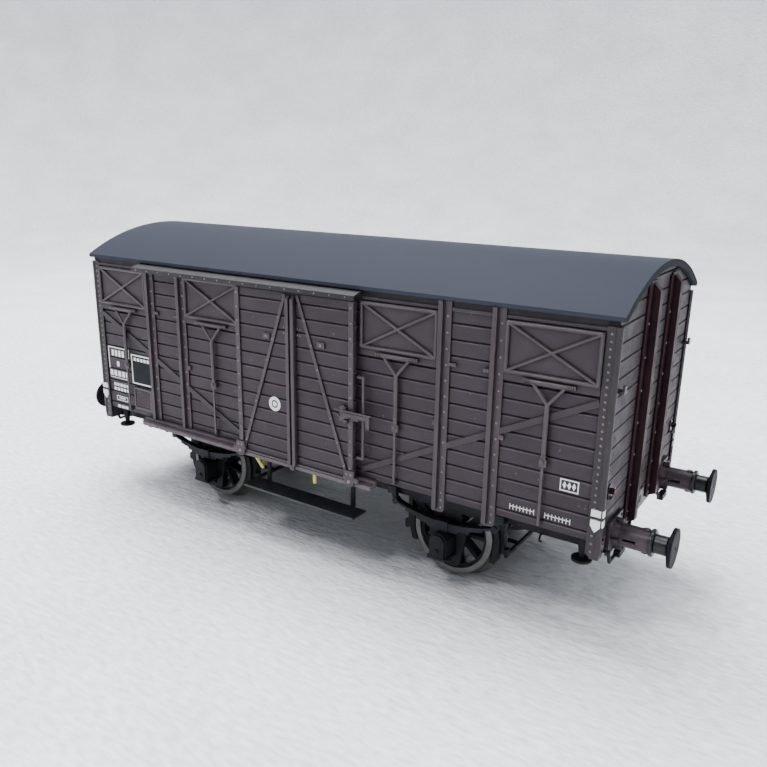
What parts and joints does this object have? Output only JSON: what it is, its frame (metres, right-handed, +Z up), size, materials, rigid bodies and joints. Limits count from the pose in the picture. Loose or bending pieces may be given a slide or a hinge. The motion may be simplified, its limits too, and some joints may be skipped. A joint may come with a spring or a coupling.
{
  "type": "model box car",
  "caption": "Two-axle covered goods wagon model with planked body, arched roof, sliding doors, spoked wheels, sprung buffers and swinging coupling pockets.",
  "frame": {"origin": "middle of the wagon at the height of the wheel flange bottoms", "axes": "+X towards the front end along the length, +Y towards the far side, +Z up"},
  "size_m": [0.0952, 0.034, 0.042],
  "materials": {
    "roof_grey": "matt slate grey",
    "plank_brown": "matt dark purple-brown, lightly weathered",
    "post_brown": "matt dark brown",
    "end_brown": "matt red-brown",
    "rail_brown": "matt grey-brown",
    "fitting_brown": "matt brown",
    "chassis_black": "matt black",
    "board_black": "matt black",
    "wheel_black": "satin black",
    "lever_yellow": "matt yellow",
    "tread_steel": "turned bright steel",
    "axle_steel": "turned steel",
    "ballast_steel": "plain sheet steel",
    "screw_steel": "plated steel",
    "spring_steel": "drawn steel wire",
    "cup_brass": "turned brass",
    "buffer_steel": "blackened steel"
  },
  "bodies": {
    "wagon": {"roof": "roof_grey", "side_wall_near": "plank_brown", "side_wall_far": "plank_brown", "end_wall_front": "plank_brown", "end_wall_rear": "plank_brown", "corner_posts": "post_brown", "side_posts": "post_brown", "end_posts": "end_brown", "floor_plate": "plank_brown", "ballast_weight": "ballast_steel", "chassis": "chassis_black", "headstocks": "plank_brown", "shutters": "fitting_brown", "shutter_stays": "fitting_brown", "diagonal_braces": "fitting_brown", "door_top_rails": "rail_brown", "door_bottom_rails": "rail_brown", "grab_rails": "post_brown", "footboards": "chassis_black", "footboard_brackets": "chassis_black", "axle_guards": "chassis_black", "leaf_springs": "chassis_black", "axle_boxes": "chassis_black", "bearing_cups": "cup_brass", "brake_shoes": "chassis_black", "brake_rigging": "chassis_black", "brake_cylinder": "chassis_black", "air_reservoir": "chassis_black", "brake_levers": "lever_yellow", "buffer_housings": "post_brown", "buffer_spring_front_near": "spring_steel", "buffer_spring_front_far": "spring_steel", "buffer_spring_rear_near": "spring_steel", "buffer_spring_rear_far": "spring_steel", "draw_plates": "post_brown", "shunter_handrails": "chassis_black", "rope_pads": "chassis_black", "lamp_brackets": "post_brown", "chalkboards": "board_black", "label_holders": "post_brown", "body_screws": "screw_steel", "coupling_keepers": "chassis_black"},
    "wheelset_front": {"axle_front": "axle_steel", "wheel_centres_front": "wheel_black", "tyres_front": "tread_steel"},
    "wheelset_rear": {"axle_rear": "axle_steel", "wheel_centres_rear": "wheel_black", "tyres_rear": "tread_steel"},
    "buffer_front_near": {"buffer_front_near": "buffer_steel"},
    "buffer_front_far": {"buffer_front_far": "buffer_steel"},
    "buffer_rear_near": {"buffer_rear_near": "buffer_steel"},
    "buffer_rear_far": {"buffer_rear_far": "buffer_steel"},
    "door_near": {"door_near": "plank_brown", "door_ironwork_near": "fitting_brown"},
    "door_far": {"door_far": "plank_brown", "door_ironwork_far": "fitting_brown"},
    "coupling_front": {"coupling_arm_front": "chassis_black"},
    "coupling_rear": {"coupling_arm_rear": "chassis_black"}
  },
  "joints": [
    {"name": "wheelset_front_spin", "type": "hinge", "parent": "wagon", "child": "wheelset_front", "pos_m": [0.0208, 0, 0.00655], "axis": [0, 1, 0], "continuous": true},
    {"name": "wheelset_rear_spin", "type": "hinge", "parent": "wagon", "child": "wheelset_rear", "pos_m": [-0.0208, 0, 0.00655], "axis": [0, 1, 0], "continuous": true},
    {"name": "buffer_front_near_slide", "type": "slide", "parent": "wagon", "child": "buffer_front_near", "axis": [-1, 0, 0], "range_m": [0, 0.001], "stiffness_N_per_m": 150, "springref_m": -0.0003, "deforming": ["buffer_spring_front_near"]},
    {"name": "buffer_front_far_slide", "type": "slide", "parent": "wagon", "child": "buffer_front_far", "axis": [-1, 0, 0], "range_m": [0, 0.001], "stiffness_N_per_m": 150, "springref_m": -0.0003, "deforming": ["buffer_spring_front_far"]},
    {"name": "buffer_rear_near_slide", "type": "slide", "parent": "wagon", "child": "buffer_rear_near", "axis": [1, 0, 0], "range_m": [0, 0.001], "stiffness_N_per_m": 150, "springref_m": -0.0003, "deforming": ["buffer_spring_rear_near"]},
    {"name": "buffer_rear_far_slide", "type": "slide", "parent": "wagon", "child": "buffer_rear_far", "axis": [1, 0, 0], "range_m": [0, 0.001], "stiffness_N_per_m": 150, "springref_m": -0.0003, "deforming": ["buffer_spring_rear_far"]},
    {"name": "door_near_slide", "type": "slide", "parent": "wagon", "child": "door_near", "axis": [-1, 0, 0], "range_m": [0, 0.0194]},
    {"name": "door_far_slide", "type": "slide", "parent": "wagon", "child": "door_far", "axis": [1, 0, 0], "range_m": [0, 0.0194]},
    {"name": "coupling_front_swing", "type": "hinge", "parent": "wagon", "child": "coupling_front", "pos_m": [0.0315, 0, 0.0095], "axis": [0, 0, 1], "range_deg": [-12, 12], "stiffness_Nm_per_rad": 0.0002},
    {"name": "coupling_rear_swing", "type": "hinge", "parent": "wagon", "child": "coupling_rear", "pos_m": [-0.0315, 0, 0.0095], "axis": [0, 0, 1], "range_deg": [-12, 12], "stiffness_Nm_per_rad": 0.0002}
  ]
}
